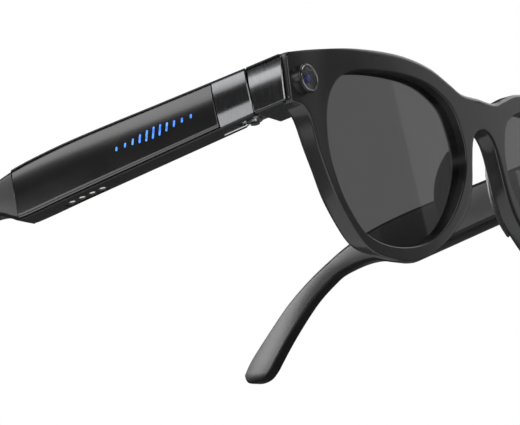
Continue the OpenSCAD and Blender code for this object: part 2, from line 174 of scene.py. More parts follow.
def temple_matrix():
    """From the right temple's own frame, in millimetres, to the row frame, in metres."""
    turn = Matrix.Rotation(-TILT, 4, "X") @ Matrix.Rotation(SPLAY, 4, "Z")
    pin = turn @ Vector((PIN_IN, PIN_BACK, PIN_MID))
    return Matrix.Translation(hinge_pos - pin * MM) @ turn @ Matrix.Scale(MM, 4)


TEMPLE = temple_matrix()


def temple_point(u, s, h):
    return TEMPLE @ Vector((u, s, h))


# Mesh helpers.

def mesh_object(name, verts, faces, smooth_angle=35):
    mesh = bpy.data.meshes.new(name)
    mesh.from_pydata([tuple(v) for v in verts], [], faces)
    mesh.update()
    obj = bpy.data.objects.new(name, mesh)
    bpy.context.scene.collection.objects.link(obj)
    tidy_mesh(obj, smooth_angle)
    return obj


def tidy_mesh(obj, smooth_angle):
    bm = bmesh.new()
    bm.from_mesh(obj.data)
    bmesh.ops.remove_doubles(bm, verts=bm.verts, dist=1e-6)
    bmesh.ops.recalc_face_normals(bm, faces=bm.faces)
    for face in bm.faces:
        face.smooth = True
    bm.to_mesh(obj.data)
    bm.free()
    obj.data.set_sharp_from_angle(angle=math.radians(smooth_angle))


def mirror_if_left(points, side):
    return [Vector((-p.x, p.y, p.z)) for p in points] if side == LEFT else list(points)


def loft(name, sections, side=RIGHT, closed=True, caps=True, ring=False, smooth_angle=35):
    """Skin over equal sections; ring joins the last section to the first."""
    n = len(sections[0])
    verts = [p for section in sections for p in mirror_if_left(section, side)]
    faces = []
    rows = len(sections)
    for i in range(rows if ring else rows - 1):
        a, b = i * n, ((i + 1) % rows) * n
        for k in range(n if closed else n - 1):
            m = (k + 1) % n
            faces.append((a + k, a + m, b + m, b + k))
    if caps and not ring:
        faces.append(tuple(range(n - 1, -1, -1)))
        faces.append(tuple(range((rows - 1) * n, rows * n)))
    return mesh_object(name, verts, faces, smooth_angle)


def lathe(name, profile, centre, axis, turns=64, side=RIGHT):
    """Turns (radius, distance along axis) points, in millimetres, about an axis through centre."""
    z = Vector(axis).normalized()
    x = z.orthogonal().normalized()
    y = z.cross(x)
    sections = []
    for k in range(turns):
        angle = 2 * math.pi * k / turns
        ray = x * math.cos(angle) + y * math.sin(angle)
        sections.append([centre + (ray * r + z * d) * MM for r, d in profile])
    return loft(name, sections, side, ring=True, closed=False, caps=False)


def join(name, objects, smooth_angle=35, open_middle=False):
    """One object from several; open_middle drops the walls that meet on the centre plane."""
    bm = bmesh.new()
    for obj in objects:
        bm.from_mesh(obj.data)
        bpy.data.objects.remove(obj)
    if open_middle:
        walls = [f for f in bm.faces if all(abs(v.co.x) < 1e-7 for v in f.verts)]
        bmesh.ops.delete(bm, geom=walls, context="FACES")
    mesh = bpy.data.meshes.new(name)
    bm.to_mesh(mesh)
    bm.free()
    obj = bpy.data.objects.new(name, mesh)
    bpy.context.scene.collection.objects.link(obj)
    tidy_mesh(obj, smooth_angle)
    return obj


def arc(centre, r, start, end, steps):
    """Points of an arc in degrees, both ends included."""
    out = []
    for k in range(steps + 1):
        a = math.radians(start + (end - start) * k / steps)
        out.append((centre[0] + r * math.cos(a), centre[1] + r * math.sin(a)))
    return out


def finish_piece(obj, body, slot, material, *nodes):
    obj.data.materials.clear()
    obj.data.materials.append(material)
    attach(obj, body)
    if nodes:
        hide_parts(*nodes)
    return obj


# Materials.

def new_material(name):
    material = bpy.data.materials.new(name)
    material.use_nodes = True
    tree = material.node_tree
    return material, tree, tree.nodes["Principled BSDF"]


def coordinates(tree, scale):
    coord = tree.nodes.new("ShaderNodeTexCoord")
    mapping = tree.nodes.new("ShaderNodeMapping")
    mapping.inputs["Scale"].default_value = scale
    tree.links.new(coord.outputs["Object"], mapping.inputs["Vector"])
    return mapping.outputs["Vector"]


def noise(tree, scale, size, detail=3.0):
    node = tree.nodes.new("ShaderNodeTexNoise")
    node.inputs["Scale"].default_value = size
    node.inputs["Detail"].default_value = detail
    tree.links.new(coordinates(tree, scale), node.inputs["Vector"])
    return node.outputs["Fac"]


def ranged(tree, value, low, high, floor=0.3, ceiling=0.7):
    node = tree.nodes.new("ShaderNodeMapRange")
    node.inputs["From Min"].default_value = floor
    node.inputs["From Max"].default_value = ceiling
    node.inputs["To Min"].default_value = low
    node.inputs["To Max"].default_value = high
    tree.links.new(value, node.inputs["Value"])
    return node.outputs["Result"]


def tint(tree, value, dark, light):
    ramp = tree.nodes.new("ShaderNodeValToRGB")
    ramp.color_ramp.elements[0].position = 0.35
    ramp.color_ramp.elements[1].position = 0.65
    ramp.color_ramp.elements[0].color = (*dark, 1)
    ramp.color_ramp.elements[1].color = (*light, 1)
    tree.links.new(value, ramp.inputs["Fac"])
    return ramp.outputs["Color"]


def bump(tree, shader, value, distance, strength=1.0):
    node = tree.nodes.new("ShaderNodeBump")
    node.inputs["Distance"].default_value = distance
    node.inputs["Strength"].default_value = strength
    tree.links.new(value, node.inputs["Height"])
    tree.links.new(node.outputs["Normal"], shader.inputs["Normal"])


def plastic(name, dark, light, rough_low, rough_high, coat=0.0, grain=0.0, specular=0.5):
    """Moulded plastic: faint cloudiness in colour and polish, and a fine grain."""
    material, tree, shader = new_material(name)
    cloud = noise(tree, (1, 1, 1), 90, 4)
    fine = noise(tree, (1, 1, 1), 2600, 2)
    tree.links.new(tint(tree, cloud, dark, light), shader.inputs["Base Color"])
    tree.links.new(ranged(tree, cloud, rough_low, rough_high), shader.inputs["Roughness"])
    shader.inputs["Specular IOR Level"].default_value = specular
    shader.inputs["Coat Weight"].default_value = coat
    shader.inputs["Coat Roughness"].default_value = 0.08
    if grain:
        bump(tree, shader, fine, 0.00001, grain)
    return material


def metal(name, dark, light, rough_low, rough_high, stretch=(1, 1, 1), size=900, depth=0.2):
    """Metal with the grain drawn out along the axis whose stretch is small."""
    material, tree, shader = new_material(name)
    grain = noise(tree, stretch, size, 5)
    tree.links.new(tint(tree, grain, dark, light), shader.inputs["Base Color"])
    tree.links.new(ranged(tree, grain, rough_low, rough_high), shader.inputs["Roughness"])
    shader.inputs["Metallic"].default_value = 1.0
    bump(tree, shader, grain, 0.000006, depth)
    return material


def glass(name, dark, light, alpha, roughness):
    material, tree, shader = new_material(name)
    cloud = noise(tree, (1, 1, 1), 60, 2)
    tree.links.new(tint(tree, cloud, dark, light), shader.inputs["Base Color"])
    tree.links.new(ranged(tree, cloud, roughness, roughness + 0.02), shader.inputs["Roughness"])
    shader.inputs["Alpha"].default_value = alpha
    return material


def glowing(name, core, rim, strength):
    """A lit light guide, brighter in places than in others."""
    material, tree, shader = new_material(name)
    cloud = noise(tree, (1, 1, 1), 1400, 3)
    colour = tint(tree, cloud, rim, core)
    tree.links.new(colour, shader.inputs["Base Color"])
    tree.links.new(colour, shader.inputs["Emission Color"])
    shader.inputs["Emission Strength"].default_value = strength
    shader.inputs["Roughness"].default_value = 0.3
    return material


def grey(level):
    return (level, level, level * 1.03)


front_black = plastic("front_black", grey(0.014), grey(0.018), 0.22, 0.27, 0.2, 0.05)
temple_black = plastic("temple_black", grey(0.007), grey(0.009), 0.14, 0.16, 0.2, 0.0)
housing_black = plastic("housing_black", grey(0.011), grey(0.015), 0.26, 0.32, 0.0, 0.1)
tip_black = plastic("tip_black", grey(0.008), grey(0.01), 0.29, 0.31)
pad_black = plastic("pad_black", grey(0.014), grey(0.02), 0.2, 0.3, 0.2, 0.3)
barrel_black = plastic("barrel_black", grey(0.006), grey(0.009), 0.3, 0.36, 0.0, 0.05)
carrier_black = plastic("carrier_black", grey(0.01), grey(0.016), 0.5, 0.6, 0.0, 1.0)
control_black = plastic("control_black", grey(0.02), grey(0.028), 0.35, 0.45, 0.0, 0.8)
speaker_black = plastic("speaker_black", grey(0.03), grey(0.045), 0.5, 0.65, 0.0, 1.0)
guide_clear = plastic("guide_clear", (0.6, 0.62, 0.66), (0.7, 0.71, 0.74), 0.2, 0.3, 0.2, 0.2)
gunmetal = metal("gunmetal", (0.115, 0.117, 0.12), (0.135, 0.137, 0.14), 0.13, 0.16,
                 (1, 1, 0.03), 5000, 0.01)
ring_metal = metal("ring_metal", (0.3, 0.3, 0.29), (0.4, 0.4, 0.39), 0.2, 0.3)
hinge_steel = metal("hinge_steel", (0.42, 0.42, 0.43), (0.55, 0.55, 0.56), 0.25, 0.4,
                    (1, 1, 0.1), 1200)
screw_steel = metal("screw_steel", (0.7, 0.7, 0.71), (0.82, 0.82, 0.83), 0.15, 0.25)
core_steel = metal("core_steel", (0.5, 0.5, 0.51), (0.6, 0.6, 0.61), 0.3, 0.4, (1, 0.05, 1))
contact_metal = metal("contact_metal", (0.66, 0.65, 0.62), (0.8, 0.79, 0.76), 0.18, 0.3)
battery_foil = metal("battery_foil", (0.5, 0.51, 0.53), (0.62, 0.63, 0.65), 0.35, 0.5, (1, 1, 1),
                     300, 0.6)
can_metal = metal("can_metal", (0.55, 0.54, 0.5), (0.68, 0.67, 0.62), 0.3, 0.4)
copper_flex = metal("copper_flex", (0.45, 0.24, 0.06), (0.62, 0.36, 0.1), 0.3, 0.45,
                    (0.05, 1, 1), 800)
board_green = plastic("board_green", (0.01, 0.07, 0.04), (0.02, 0.12, 0.07), 0.3, 0.45, 0.2, 0.6)
lens_glass = glass("lens_glass", (0.004, 0.004, 0.004), (0.006, 0.006, 0.006), 0.72, 0.02)
window_glass = glass("window_glass", (0.02, 0.024, 0.03), (0.028, 0.032, 0.04), 0.35, 0.06)
ring_glass = plastic("ring_glass", (0.05, 0.052, 0.056), (0.065, 0.067, 0.07), 0.14, 0.2, 0.3, 0.02)
# The optics' blue is partly the coating's own tint and partly a painted glint: the base colour is
# raised bright to stand in for the blue-white reflections off the coated element.
coated_lens_painted_glint = plastic("coated_lens_painted_glint", (0.05, 0.07, 0.5), (0.14, 0.18, 0.95), 0.06, 0.1, 1.0)
light_blue = glowing("light_blue", (0.06, 0.28, 0.9), (0.015, 0.11, 0.6), 0.9)


# The front: one half as a ring of cross-sections round the lens opening, then mirrored.

def half_outline():
    """The outer edge from the top of the bridge round to the nose arch."""
    top = smooth(BROW, 10)
    corner_top = arc((SIDE_X - CORNER_TOP_R, CORNER_TOP_H), CORNER_TOP_R, 70, 0, 4)
    corner_low = arc((SIDE_X - CORNER_LOW_R, CORNER_LOW_H), CORNER_LOW_R, 0, -80, 5)
    corners = [Vector(p) for p in corner_top + corner_low]
    return resample(top + corners + smooth(CHEEK, 10), 0.7)


def inward_normals(points):
    """Normals of an open outline that runs clockwise round the material, pointing into it."""
    out = []
    for i, p in enumerate(points):
        a = points[max(i - 1, 0)]
        b = points[min(i + 1, len(points) - 1)]
        t = (b - a).normalized()
        n = Vector((t.y, -t.x))
        if i in (0, len(points) - 1):
            n = Vector((0, math.copysign(1, n.y)))
        out.append(n)
    return out


def opening_at(angle_from, opening):
    """Where the ray from the star centre towards a point crosses the opening."""
    direction = (angle_from - STAR).normalized()
    best = None
    for a, b in zip(opening, opening[1:] + opening[:1]):
        e = b - a
        den = direction.x * e.y - direction.y * e.x
        if abs(den) < 1e-12:
            continue
        w = a - STAR
        t = (w.x * e.y - w.y * e.x) / den
        k = (w.x * direction.y - w.y * direction.x) / den
        if t > 0 and -1e-9 <= k <= 1 + 1e-9 and (best is None or t > best):
            best = t
    return STAR + direction * best


def outward_at(point, opening):
    """The opening's outward normal nearest a point on it."""
    i = min(range(len(opening)), key=lambda k: (opening[k] - point).length_squared)
    t = (opening[(i + 1) % len(opening)] - opening[i - 1]).normalized()
    n = Vector((t.y, -t.x))
    return n if n.dot(point - LENS_CENTRE) > 0 else -n


# Steps across the flat of each face of the rim.
ACROSS = 12


def ease(value, start, end):
    """A smooth step from 0 at start to 1 at end."""
    t = min(max((value - start) / (end - start), 0), 1)
    return t * t * (3 - 2 * t)


def flare(p):
    """How far the front edge stands out beyond the rear one, on the lower outer side."""
    return 0.75 * ease(p.y, 9, -2) * ease(p.x, 44, 54)


def tuck(p):
    """How far the rear edge is drawn in under the rim; at the outer side it stands out."""
    under = 1.25 * ease(p.y, -17, -23) * ease(p.x, 55, 47)
    outer = 0.5 * ease(p.y, -4, -12) * ease(p.x, 46, 54)
    return under - outer


def edge_inset(p):
    """Width of the rounding along the front's outer edge: broad on the brow and the nose."""
    return (0.4 + 0.8 * ease(p.x, 60, 36) * ease(p.y, 6, 18)
            + 1.2 * ease(p.x, 26, 14) * ease(p.y, 14, 4))


def face_depth(x):
    """The front face comes forward a little at the outer corners."""
    return -1.0 * ease(x, 58, 72)


def rim_section(p, n, q, out_n, edge, opening_edge, front, back):
    """One closed cross-section from the opening round the front and back to the opening.

    edge is the rounding's width and depth at the outline, opening_edge its radius at the
    opening, and the face at the depth front is the rounded one."""
    steps = 8
    sign = 1 if front < back else -1
    inward = n if n else Vector((0, 0))
    wide, deep = edge if n else (0.0, 0.0)

    def wall(depth):
        share = depth / RIM_DEPTH
        return p + inward * (tuck(p) * share - flare(p) * (1 - share))

    pts = [(q, back)]
    for k in range(steps + 1):
        a = math.pi / 2 * k / steps
        pts.append((q + out_n * opening_edge * (1 - math.cos(a)),
                    front + sign * opening_edge * (1 - math.sin(a))))
    start, end = q + out_n * opening_edge, wall(front + sign * deep) + inward * wide
    pts += [(start.lerp(end, k / ACROSS), front) for k in range(1, ACROSS)]
    for k in range(steps + 1):
        a = math.pi / 2 * k / steps
        depth = front + sign * deep * (1 - math.cos(a))
        pts.append((wall(depth) + inward * wide * (1 - math.sin(a)), depth))
    foot = wall(back)
    pts.append((foot, back))
    pts += [(foot.lerp(q, k / ACROSS), back) for k in range(1, ACROSS)]
    out = []
    for v, depth in pts:
        share = max(0.0, 1 - depth / SHELL_DEPTH)
        out.append(front_point(v.x, v.y, depth + share * face_depth(v.x)))
    return out


def shell_section(p, n, q, out_n):
    wide = edge_inset(p)
    return rim_section(p, n, q, out_n, (wide, 0.3 + 0.25 * wide), 0.4, 0.0, SHELL_DEPTH)


def cover_section(p, n, q, out_n):
    return rim_section(p, n, q, out_n, (1.2, 1.2), 0.5, RIM_DEPTH, SHELL_DEPTH)


def rim_half(name, section, side):
    """Half of the front's rim: sections from the outline to the opening, all the way round."""
    outline = half_outline()
    stations_round = list(zip(outline, inward_normals(outline)))
    opening = resample(smooth(OPENING, 12, True), 0.3, True)
    arch, top = outline[-1], outline[0]
    seam_steps = 10
    stations_round += [(arch.lerp(top, k / seam_steps), None) for k in range(1, seam_steps)]
    sections = []
    for p, n in stations_round:
        q = opening_at(p, opening)
        sections.append(section(p, n, q, outward_at(q, opening)))
    return loft(name, sections, side, ring=True, caps=False, smooth_angle=40)


LIP_SET = 0.08
LIP_LOW_R, LIP_TOP_R, INNER_R = 0.3, 0.5, 1.5


def ledge_loop(ledge, inner, low, high, lip_low, lip_top, pinch=0.0):
    """Cross-section of a body that a plate lies on: it is cut back to the ledge between a low
    lip and a top lip, and rounded on its inner side."""
    low, high = low + pinch, high - pinch
    inner -= pinch
    face = LIP_SET + pinch
    r_in = min(INNER_R, (inner - ledge) * 0.45)
    return ([(ledge, low + lip_low), (face + LIP_LOW_R, low + lip_low)]
            + arc((face + LIP_LOW_R, low + LIP_LOW_R), LIP_LOW_R, 180, 270, 4)
            + arc((inner - r_in, low + r_in), r_in, 270, 360, 6)
            + arc((inner - r_in, high - r_in), r_in, 0, 90, 6)
            + arc((face + LIP_TOP_R, high - LIP_TOP_R), LIP_TOP_R, 90, 180, 6)
            + [(face, high - lip_top), (ledge, high - lip_top)])


END_INNER = 12.0
END_STATIONS = [(-8.5, 0), (-8.2, 0), (-6, 0), (-4, 0), (-2, 0), (-GAP_HALF - 0.2, 0),
                (-GAP_HALF, 0.2)]
PLATE_LIP_LOW, PLATE_LIP_TOP = 0.3, 0.45
LEAN_START, LEAN_RUN = 1, 7.5


def end_block(side):
    """The part of the rear cover that runs back to the hinge gap and carries the end plate."""
    sections = []
    for s, pinch in END_STATIONS:
        loop = ledge_loop(TRIM_T, END_INNER, 0, BAR_H, PLATE_LIP_LOW, PLATE_LIP_TOP, pinch)
        sections.append([temple_point(u, s - lean_with_front(s, h), h) for u, h in loop])
    return loft(f"end_block_{side}", sections, side)


def lean_with_front(s, h):
    """Shears a station so that it is parallel to the front face near it, and to the gap at
    the gap."""
    share = min(1.0, max(0.0, (-s - LEAN_START) / LEAN_RUN))
    return math.tan(TILT) * (h - BAR_H / 2) * share


def rounded_loop(u0, u1, h0, h1, radii, steps=5):
    """A rounded rectangle; radii start at (u0, h0) and go round by (u1, h0) and (u1, h1)."""
    r00, r10, r11, r01 = radii
    return (arc((u0 + r00, h0 + r00), r00, 180, 270, steps)
            + arc((u1 - r10, h0 + r10), r10, 270, 360, steps)
            + arc((u1 - r11, h1 - r11), r11, 0, 90, steps)
            + arc((u0 + r01, h1 - r01), r01, 90, 180, steps))


def build_front():
    for node, section in (("front_shell", shell_section), ("front_rear_cover", cover_section)):
        parts = [rim_half(f"{node}_{side}", section, side) for side in SIDES]
        if node == "front_rear_cover":
            parts += [end_block(side) for side in SIDES]
        obj = join(f"{node}_skin", parts, 40, open_middle=True)
        finish_piece(obj, "front", "front_black", front_black, node)


LENS_RINGS = 12
LENS_TUCKED = 0.6


def build_lenses():
    """Each lens as rings from its middle to its edge, on both faces. Its edge is tucked into
    the rim beyond the opening."""
    outline = resample(smooth(OPENING, 12, True), 1.0, True)
    for side in SIDES:
        front, back = [], []
        for k in range(1, LENS_RINGS + 1):
            ring = [LENS_CENTRE.lerp(p + (p - LENS_CENTRE).normalized() * LENS_TUCKED,
                                     k / LENS_RINGS) for p in outline]
            front.append([front_point(p.x, p.y, LENS_SET) for p in ring])
            back.append([front_point(p.x, p.y, LENS_SET + LENS_T) for p in ring])
        sections = front + back[::-1]
        lens = loft(f"tinted_lens_{side}", sections, side, smooth_angle=50)
        finish_piece(lens, "front", "lens_tint", lens_glass, f"lens_{side}")


# Temples.

def line_at(line, s):
    for a, b in zip(line, line[1:]):
        if a.x <= s <= b.x:
            return a.y + (b.y - a.y) * (s - a.x) / (b.x - a.x)
    return line[-1].y if s > line[-1].x else line[0].y


top_curve = smooth(TOP_LINE, 12)
low_curve = {side: [Vector((0, 0))] + smooth(LOW_LINE[side], 12) for side in SIDES}
COVER_LIP_LOW, COVER_LIP_TOP = 0.55, 0.5


def bar_top(s):
    return line_at(top_curve, s)


def bar_low(s, side):
    return line_at(low_curve[side], s)


def crown(lean, steps=40):
    """How far in a face lies at each share of its height, from (share, degrees) of lean."""
    shares, depth = [k / steps for k in range(steps + 1)], [0.0]
    for a, b in zip(shares, shares[1:]):
        middle = (a + b) / 2
        for (t0, d0), (t1, d1) in zip(lean, lean[1:]):
            if t0 <= middle <= t1:
                angle = d0 + (d1 - d0) * (middle - t0) / (t1 - t0)
        depth.append(depth[-1] + math.tan(math.radians(angle)) * (b - a))
    least = min(depth)
    return [(t, d - least) for t, d in zip(shares, depth)]


COVER_CROWN = crown([(0, -24), (0.05, -14), (0.08, -1.5), (0.4, -1), (0.65, 3), (1, 7.5)])
PLATE_CROWN = crown([(0, -8.5), (0.24, -7), (0.36, -2), (0.58, -1.5), (0.74, 2.6), (1, 5)])
END_CROWN = crown([(0, -2), (0.35, -1), (0.52, 2), (0.66, 5), (0.78, 10), (1, 13)])


def plate_loop(low, high, inner, faces, pinch=0.0):
    """Cross-section of a cover or plate: crowned outside, flat inside at the depth inner."""
    low, high = low + pinch, high - pinch
    tall = high - low
    r = 0.25
    face = [(u * tall + pinch, low + t * tall) for t, u in faces if r < t * tall < tall - r]
    foot, head = face[0][0], face[-1][0]
    return ([(inner, low)] + arc((foot + r, low + r), r, 270, 180, 5) + face
            + arc((head + r, high - r), r, 180, 90, 5) + [(inner, high)])


def stations(start, end, count, edge=0.12):
    """Places along the temple, with a close pair at each end for a small bevel."""
    places = [start, start + edge]
    places += [start + (end - start) * k / count for k in range(1, count)]
    return places + [end - edge, end]


def build_cover(side):
    start, end = GAP_HALF + TRIM_L, POD_BACK[side]
    sections = []
    for s in stations(start, end, 32):
        pinch = 0.1 if s in (start, end) else 0.0
        loop = plate_loop(bar_low(s, side) + COVER_LIP_LOW, bar_top(s) - COVER_LIP_TOP, COVER_T,
                          COVER_CROWN, pinch)
        sections.append([temple_point(u, s, h) for u, h in loop])
    cover = loft(f"outer_cover_{side}", sections, side)
    finish_piece(cover, TEMPLE_BODY[side], "temple_black", temple_black, f"cover_{side}")


STRIP_START, STRIP_END, STRIP_HALF, STRIP_DEEP = 45.1, 58.2, 1.6, 0.5
STRIP_MID, STRIP_SLOPE = 4, 0.037
CUTTER_LOW = -3.6
HOUSING_START = 5.95
HINGE_CHEEK_END, HINGE_CHEEK_INNER = 6.2, 2.3
SEAM_LOW, SEAM_TOP = 0.15, 0.05


def housing_loops(s, side, ledge, inner, pinch):
    low, high = bar_low(s, side), bar_top(s)
    loop = ledge_loop(ledge, inner, low, high, COVER_LIP_LOW - SEAM_LOW,
                      COVER_LIP_TOP - SEAM_TOP, pinch)
    return [temple_point(u, s, h) for u, h in loop]


def build_housing(side):
    """The inner housing, with a lip over the cover's top edge and a rail under it."""
    start, end = HOUSING_START, POD_BACK[side]
    sections = []
    for s in stations(start, end, 34):
        ledge = TRIM_T if s < GAP_HALF + TRIM_L - 0.4 else COVER_T
        pinch = 0.12 if s in (start, end) else 0.0
        sections.append(housing_loops(s, side, ledge, BAR_T, pinch))
    body = loft(f"inner_housing_{side}", sections, side)
    cheek = []
    for s in stations(GAP_HALF, HINGE_CHEEK_END, 6):
        pinch = 0.12 if s == GAP_HALF else 0.0
        cheek.append(housing_loops(s, side, TRIM_T, HINGE_CHEEK_INNER, pinch))
    flange = loft(f"hinge_cheek_{side}", cheek, side)
    obj = join(f"housing_skin_{side}", [body, flange])
    if side == RIGHT:
        carve_strip(obj)
    finish_piece(obj, TEMPLE_BODY[side], "temple_black", housing_black, f"housing_{side}")


def carve_strip(obj):
    """Sinks a rounded strip into the right housing's underside, round the contacts."""
    r = STRIP_HALF
    outline = (arc((STRIP_MID, STRIP_END - r), r, 0, 180, 16)
               + arc((STRIP_MID, STRIP_START + r), r, 180, 360, 16))
    sections = [[temple_point(u, s, CUTTER_LOW) for u, s in outline],
                [temple_point(u, s, -STRIP_SLOPE * s + STRIP_DEEP) for u, s in outline]]
    cutter = loft("strip_cutter", sections)
    carve = obj.modifiers.new("strip", "BOOLEAN")
    carve.object = cutter
    carve.solver = "EXACT"
    apply_modifiers(obj)
    bpy.data.objects.remove(cutter)
    obj.data.set_sharp_from_angle(angle=math.radians(35))


def apply_modifiers(obj):
    graph = bpy.context.evaluated_depsgraph_get()
    mesh = bpy.data.meshes.new_from_object(obj.evaluated_get(graph))
    obj.modifiers.clear()
    obj.data = mesh


PLATE_SEAM, PLATE_EDGE, PLATE_PINCH = 0.08, 0.22, 0.18
END_PLATE_START, END_PLATE_OUT = -9.2, 0.1


def build_trims(side):
    """The metal plates on both sides of the hinge gap."""
    start, end = GAP_HALF, GAP_HALF + TRIM_L - PLATE_SEAM
    sections = []
    for s in stations(start, end, 8, PLATE_EDGE):
        pinch = PLATE_PINCH if s in (start, end) else 0.0
        loop = plate_loop(bar_low(s, side) + PLATE_LIP_LOW, bar_top(s) - PLATE_LIP_TOP, TRIM_T,
                          PLATE_CROWN, pinch)
        sections.append([temple_point(u, s, h) for u, h in loop])
    plate = loft(f"temple_plate_{side}", sections, side)
    finish_piece(plate, TEMPLE_BODY[side], "gunmetal", gunmetal, f"temple_trim_{side}")

    start, end = END_PLATE_START, -GAP_HALF
    sections = []
    for s in stations(start, end, 8, PLATE_EDGE):
        pinch = PLATE_PINCH if s in (start, end) else 0.0
        loop = plate_loop(PLATE_LIP_LOW, BAR_H - PLATE_LIP_TOP, TRIM_T, END_CROWN, pinch)
        sections.append([temple_point(u - END_PLATE_OUT, s - lean_with_front(s, h), h)
                         for u, h in loop])
    plate = loft(f"end_plate_{side}", sections, side)
    finish_piece(plate, "front", "gunmetal", gunmetal, f"front_trim_{side}")


TIP_TWIST = math.radians(6.5)
TIP_BLEND = 20
TIP_ROOT_SET = 0.1
TIP_CLOSING = 4
TIP_R, TIP_R_LOSS = 1.5, 0.6
TIP_SLIM_FROM, TIP_SLIM_TO, TIP_TWIST_TO = 84, 112, 116


def build_tip(side):
    """The ear tip: rounded sections between its top and bottom lines, closed at the end."""
    pod = POD_BACK[side]
    top = [Vector((pod, bar_top(pod)))] + [p for p in top_curve if p.x > pod]
    low = [Vector((pod, bar_low(pod, side)))] + [p for p in low_curve[side] if p.x > pod]
    end = smooth(END_LINE, 10)
    middle = len(end) // 2
    upper = resample(top + end[1:middle + 1], 1.0)
    count = len(upper)
    lower_line = low + end[middle:][::-1][1:]
    total = resample(lower_line, 0.02)
    lower = [total[round(k * (len(total) - 1) / (count - 1))] for k in range(count)]
    sections = []
    for k in range(count - 1):
        a, b = upper[k], lower[k]
        s = (a.x + b.x) / 2
        t = min(max((s - pod) / TIP_BLEND, 0), 1)
        u0 = TIP_ROOT_SET + (TIP_IN - TIP_ROOT_SET) * t
        u1 = (BAR_T - TIP_ROOT_SET) + (TIP_IN + TIP_T - BAR_T + TIP_ROOT_SET) * t
        height = (a - b).length
        close = min(1.0, height / TIP_CLOSING)
        squeeze = (1 - math.sqrt(max(0.0, 1 - (1 - close) ** 2))) * (u1 - u0) / 2
        u0, u1 = u0 + squeeze, u1 - squeeze
        r = min(TIP_R - TIP_R_LOSS * ease(s, TIP_SLIM_FROM, TIP_SLIM_TO), height * 0.45,
                (u1 - u0) * 0.45)
        loop = rounded_loop(u0, u1, 0, height, (r * 0.9, r * 0.7, r, r), 5)
        up = (a - b).normalized()
        twist = math.tan(TIP_TWIST) * ease(s, TIP_SLIM_FROM, TIP_TWIST_TO)
        sections.append([temple_point(u + twist * (height / 2 - h), b.x + up.x * h,
                                      b.y + up.y * h) for u, h in loop])
    tip = loft(f"ear_tip_{side}", sections, side)
    finish_piece(tip, TEMPLE_BODY[side], "tip_black", tip_black, f"tip_{side}")


# Small pieces.

BARS, BARS_MID, BARS_PITCH, BARS_SPREAD = 11, 27.3, 1.93, 0.01
BARS_H, BARS_DROP = 5.1, 0.02
# How far each station of a bar lies inside the cover's face, and how wide it is there.
BAR_STATIONS = ((1.8, 1.0), (0.0, 1.0), (-0.03, 0.93), (-0.04, 0.8))
BAR_LEAN = math.radians(18)
BAR_WIDE, BAR_SHORT, BAR_TALL = 0.56, 1.0, 2.9


def build_light_bars():
    """Eleven rounded light guides that lean forward and rise a hair above the cover."""
    bars = []
    r = BAR_WIDE / 2
    for k in range(BARS):
        place = k - BARS // 2
        run = BARS_PITCH * place + BARS_SPREAD * place ** 3
        wave = math.sin(math.pi * (k + 0.6) / (BARS + 0.2)) ** 3
        tall = BAR_SHORT + (BAR_TALL - BAR_SHORT) * wave
        s0, h0 = BARS_MID + run, BARS_H - BARS_DROP * run
        loop = (arc((0, tall / 2 - r), r, 0, 180, 8) + arc((0, r - tall / 2), r, 180, 360, 8))
        sections = []
        for sink, shrink in BAR_STATIONS:
            section = []
            for p, q in loop:
                core = min(max(q, r - tall / 2), tall / 2 - r)
                p2, q2 = p * shrink, core + (q - core) * shrink
                s = s0 + p2 * math.cos(BAR_LEAN) - q2 * math.sin(BAR_LEAN)
                h = h0 + p2 * math.sin(BAR_LEAN) + q2 * math.cos(BAR_LEAN)
                section.append(temple_point(sink, s, h))
            sections.append(section)
        bars.append(loft(f"bar_{k}", sections))
    obj = join("light_bar_row", bars)
    finish_piece(obj, "right_temple", "light_blue", light_blue, "light_bars")


LEAF_START, LEAF_END, LEAF_EDGE = 4.6, 11.2, 0.2
LEAF_IN, LEAF_OUT, LEAF_BELOW, LEAF_ABOVE = 4.0, 4.6, 0.2, 0.5
LEAF_R, LEAF_SLIM = 0.24, 0.12


def build_leaf_strips():
    """The polished edge of the temple's hinge leaf, which shows along the underside."""
    for side in SIDES:
        sections = []
        for s in (LEAF_START, LEAF_START + LEAF_EDGE, LEAF_END - LEAF_EDGE, LEAF_END):
            slim = LEAF_SLIM if s in (LEAF_START, LEAF_END) else 0.0
            low = bar_low(s, side)
            loop = rounded_loop(LEAF_IN + slim, LEAF_OUT - slim, low - LEAF_BELOW + slim,
                                low + LEAF_ABOVE, (LEAF_R,) * 4, 4)
            sections.append([temple_point(u, s, h) for u, h in loop])
        strip = loft(f"hinge_leaf_edge_{side}", sections, side)
        finish_piece(strip, TEMPLE_BODY[side], "hinge_steel", screw_steel)


def camera_centre():
    """The middle of the CAD barrel's front edge."""
    low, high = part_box("camera_barrel")
    return Vector(((low.x + high.x) / 2, low.y, (low.z + high.z) / 2))


